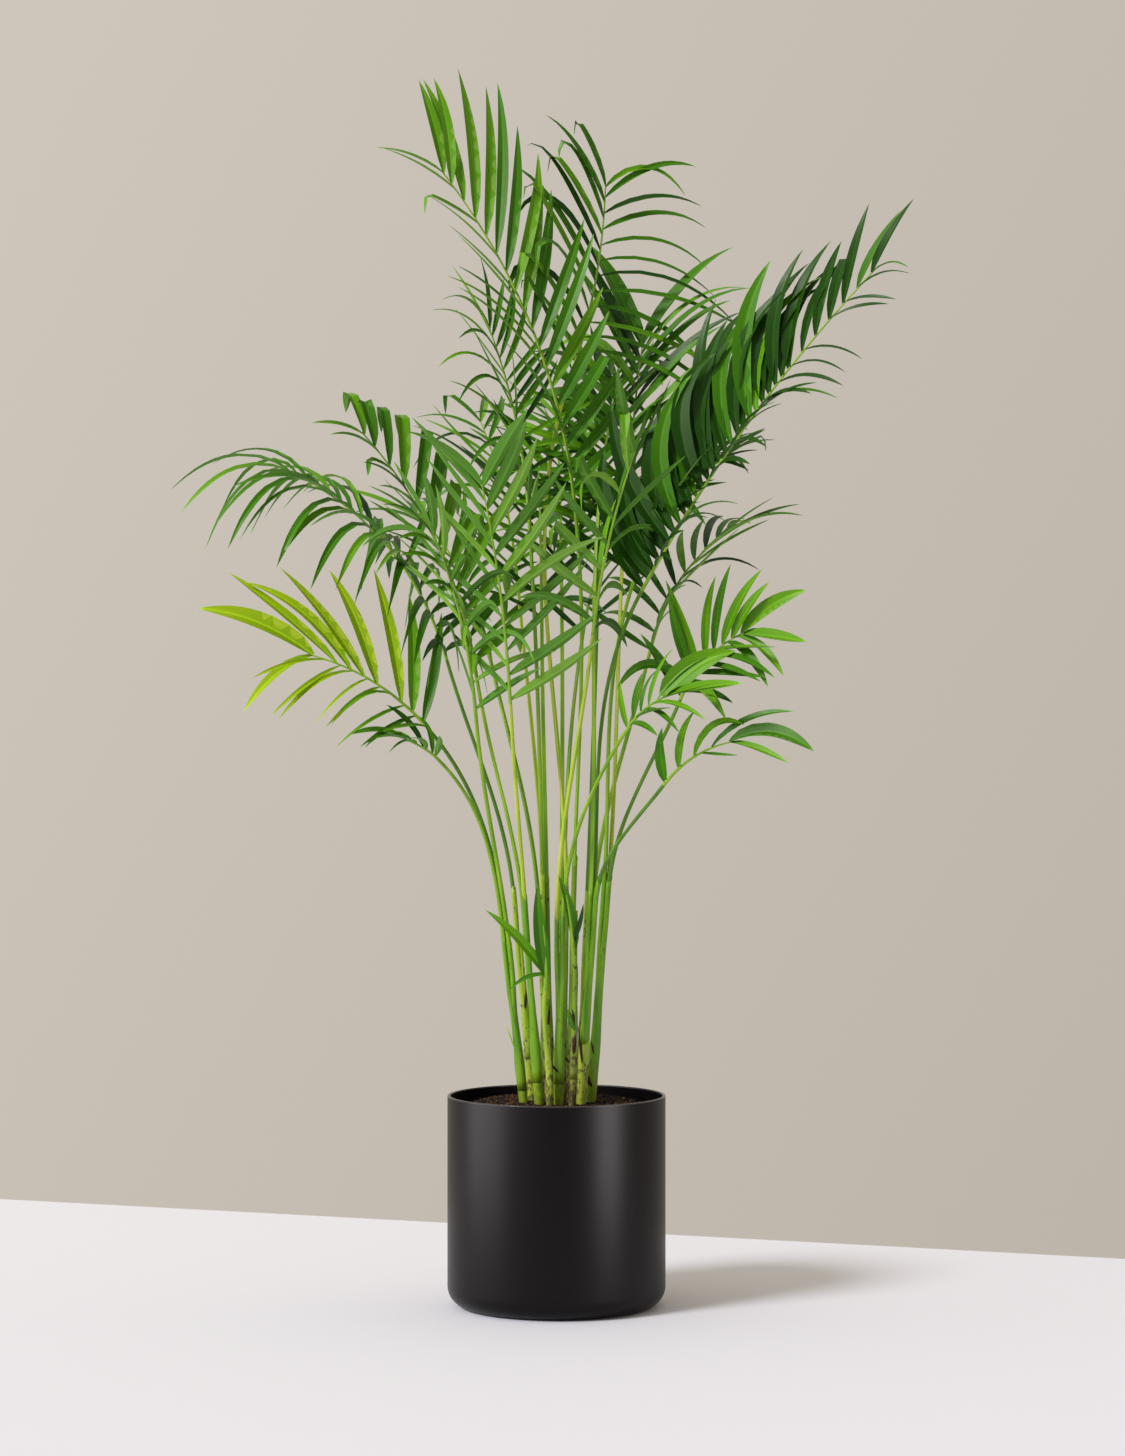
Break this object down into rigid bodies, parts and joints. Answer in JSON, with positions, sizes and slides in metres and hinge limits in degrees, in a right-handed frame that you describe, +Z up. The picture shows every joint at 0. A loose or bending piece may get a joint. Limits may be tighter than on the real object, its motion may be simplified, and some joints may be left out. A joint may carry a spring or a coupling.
{
  "type": "potted cat palm",
  "caption": "Tall clump-forming palm with ringed green canes and feather-shaped arching fronds, standing in a plain black cylinder pot filled with potting mix.",
  "frame": {"origin": "centre of the pot's flat underside", "axes": "+Z up along the pot's axis, -Y towards the front of the plant, +X to the right seen from the front"},
  "size_m": [0.9704, 0.7133, 1.5732],
  "materials": {
    "pot": "satin black, smooth",
    "soil": "loose brown coir crumbs",
    "cane": "smooth green sheaths with pale rings and brown papery edges",
    "frond": "satin green leaf"
  },
  "bodies": {
    "root": {"pot": "pot", "soil": "soil", "cane_01": "cane", "cane_02": "cane", "cane_03": "cane", "cane_04": "cane", "cane_05": "cane", "cane_06": "cane", "cane_07": "cane", "cane_08": "cane", "cane_09": "cane", "cane_10": "cane", "cane_11": "cane", "cane_12": "cane", "cane_13": "cane", "frond_back_high": "frond", "frond_back_left": "frond", "frond_back_low_left": "frond", "frond_back_low_right": "frond", "frond_back_mid": "frond", "frond_back_right": "frond", "frond_centre": "frond", "frond_centre_back": "frond", "frond_centre_high": "frond", "frond_centre_low": "frond", "frond_front": "frond", "frond_front_left": "frond", "frond_left_long": "frond", "frond_left_low": "frond", "frond_left_small": "frond", "frond_left_upper": "frond", "frond_right_inner": "frond", "frond_right_long": "frond", "frond_right_low": "frond", "frond_right_mid": "frond", "frond_top_centre": "frond", "frond_top_left": "frond", "frond_top_right": "frond", "frond_upper_left": "frond", "frond_young_front": "frond", "frond_young_right": "frond"}
  },
  "joints": []
}
